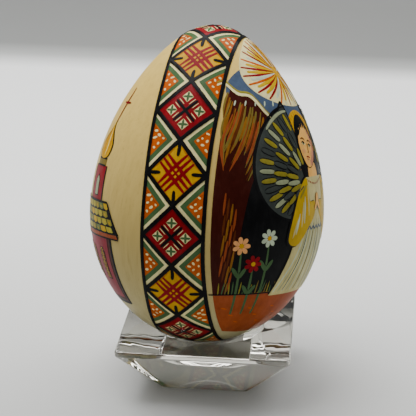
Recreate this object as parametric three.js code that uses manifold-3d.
// A painted wooden egg resting in a clear pressed-glass stand.
// Millimetres, +Z up. The origin is the centre of the stand's foot, on the table.
// The front is -Y. The egg is loose: it leans back in the shallow cup and lifts straight out.
import * as THREE from 'three';
import { mergeVertices } from 'three/addons/utils/BufferGeometryUtils.js';
import Module from 'manifold-3d';

// Egg: one solid turned from limewood, a body of revolution about its own axis.
const EGG_RADIUS = 33;
const EGG_TIP = 52.5; // widest section to the pointed end
const EGG_BASE = 37.3; // widest section to the blunt end
const EGG_TAPER = 0.228; // how much the pointed half draws in
const EGG_SIDES = 72;
const EGG_RINGS = 44;

// How the egg sits: its widest section's centre, and its lean away from the upright.
const EGG_CENTRE = new THREE.Vector3(-1.5, 1.6, 49.5);
const LEAN_BACK = THREE.MathUtils.degToRad(12.4);
const LEAN_SIDE = THREE.MathUtils.degToRad(0.7);

// Stand: a square block that is widest at its flat top and tapers down to a small square foot.
const TOP_SIDE = 48.9;
const FOOT_SIDE = 25.2;
const STAND_HEIGHT = 15.9;
const RIM_BAND = 1.5; // the upright edge around the top
const EDGE_ROUND = 0.4;
const CORNER_ROUND = 1.3;
const CORNER_STEPS = 5;

// Cup: a shallow round dish in the stand's top, with a flat floor and a softly rounded lip.
const CUP_FLOOR_RADIUS = 8.2;
const CUP_WALL_RADIUS = 15.4;
const CUP_LIP_ROUND = 1.0;
const CUP_DEPTH = 3.8;
const CUP_SIDES = 72;
const ROUND_STEPS = 5;

const wasm = await Module();
wasm.setup();

// The wasm solid of a closed geometry.
function toSolid(geometry) {
  const bare = geometry.clone();
  bare.deleteAttribute('normal');
  bare.deleteAttribute('uv');
  const merged = mergeVertices(bare, 1e-4);
  return new wasm.Manifold(new wasm.Mesh({
    numProp: 3,
    vertProperties: new Float32Array(merged.attributes.position.array),
    triVerts: new Uint32Array(merged.index.array),
  }));
}

// The geometry of a wasm solid.
function toGeometry(solid) {
  const mesh = solid.getMesh();
  const geometry = new THREE.BufferGeometry();
  geometry.setAttribute('position', new THREE.BufferAttribute(new Float32Array(mesh.vertProperties), 3));
  geometry.setIndex(new THREE.BufferAttribute(new Uint32Array(mesh.triVerts), 1));
  geometry.computeVertexNormals();
  return geometry;
}

// A body of revolution about +Z from [radius, height] pairs that start and end on the axis, lowest first.
function turned(profile, sides) {
  const points = profile.map(([radius, height]) => new THREE.Vector2(radius, height));
  const geometry = new THREE.LatheGeometry(points, sides);
  geometry.rotateX(Math.PI / 2);
  return geometry;
}

// The egg's outline: an ellipse below the widest section, a longer and slightly tapered one above.
function eggProfile() {
  const profile = [];
  for (let ring = 0; ring <= EGG_RINGS; ring += 1) {
    const turn = Math.PI * (1 - ring / EGG_RINGS);
    const along = Math.cos(turn);
    const across = ring === 0 || ring === EGG_RINGS ? 0 : Math.sin(turn);
    const taper = along > 0 ? 1 - EGG_TAPER * along * along : 1;
    profile.push([EGG_RADIUS * across * taper, along * (along > 0 ? EGG_TIP : EGG_BASE)]);
  }
  return profile;
}

// One level of the stand: a square of the given side with rounded corners, counter-clockwise.
function squareRing(side, height) {
  const ring = [];
  const centre = side / 2 - CORNER_ROUND;
  for (let corner = 0; corner < 4; corner += 1) {
    const start = (corner * Math.PI) / 2;
    const cx = centre * Math.sign(Math.cos(start + Math.PI / 4));
    const cy = centre * Math.sign(Math.sin(start + Math.PI / 4));
    for (let step = 0; step <= CORNER_STEPS; step += 1) {
      const turn = start + (step / CORNER_STEPS) * (Math.PI / 2);
      ring.push([cx + CORNER_ROUND * Math.cos(turn), cy + CORNER_ROUND * Math.sin(turn), height]);
    }
  }
  return ring;
}

// A closed solid through the rings, lowest first.
function lofted(rings) {
  const count = rings[0].length;
  const positions = rings.flat(2);
  const index = [];
  for (let level = 0; level < rings.length - 1; level += 1) {
    for (let k = 0; k < count; k += 1) {
      const a = level * count + k;
      const b = level * count + ((k + 1) % count);
      index.push(a, b, b + count);
      index.push(a, b + count, a + count);
    }
  }
  const top = (rings.length - 1) * count;
  for (let k = 1; k < count - 1; k += 1) {
    index.push(0, k + 1, k);
    index.push(top, top + k, top + k + 1);
  }
  const geometry = new THREE.BufferGeometry();
  geometry.setAttribute('position', new THREE.Float32BufferAttribute(positions, 3));
  geometry.setIndex(index);
  return geometry;
}

// The stand's block: foot, sloping sides, upright rim band, flat top.
function standBlock() {
  const rimBottom = STAND_HEIGHT - RIM_BAND;
  return lofted([
    squareRing(FOOT_SIDE - 2 * EDGE_ROUND, 0),
    squareRing(FOOT_SIDE, EDGE_ROUND),
    squareRing(TOP_SIDE, rimBottom),
    squareRing(TOP_SIDE, STAND_HEIGHT - EDGE_ROUND),
    squareRing(TOP_SIDE - 2 * EDGE_ROUND, STAND_HEIGHT),
  ]);
}

// The space of the cup, run up past the stand's top so that the cut is clean.
function cupSpace() {
  const floor = STAND_HEIGHT - CUP_DEPTH;
  const profile = [[0, floor], [CUP_FLOOR_RADIUS, floor]];
  for (let step = 0; step <= ROUND_STEPS; step += 1) {
    const turn = (step / ROUND_STEPS) * (Math.PI / 2);
    const radius = CUP_WALL_RADIUS + CUP_LIP_ROUND * (1 - Math.cos(turn));
    profile.push([radius, STAND_HEIGHT - CUP_LIP_ROUND * (1 - Math.sin(turn))]);
  }
  const mouth = CUP_WALL_RADIUS + CUP_LIP_ROUND;
  profile.push([mouth, STAND_HEIGHT + 2], [0, STAND_HEIGHT + 2]);
  return turned(profile, CUP_SIDES);
}

const paintedWood = new THREE.MeshStandardMaterial({ color: 0xcbb68a, roughness: 0.35, metalness: 0 });
const clearGlass = new THREE.MeshStandardMaterial({
  color: 0xe6eceb,
  roughness: 0.05,
  metalness: 0,
  transparent: true,
  opacity: 0.35,
});

const egg = new THREE.Mesh(turned(eggProfile(), EGG_SIDES), paintedWood);
egg.name = 'wooden_egg';
egg.position.copy(EGG_CENTRE);
egg.rotation.set(-LEAN_BACK, LEAN_SIDE, 0);

const stand = new THREE.Mesh(toGeometry(toSolid(standBlock()).subtract(toSolid(cupSpace()))), clearGlass);
stand.name = 'glass_stand';

const part = new THREE.Group();
part.name = 'pysanka_egg_on_stand';
part.add(egg, stand);

export default part;
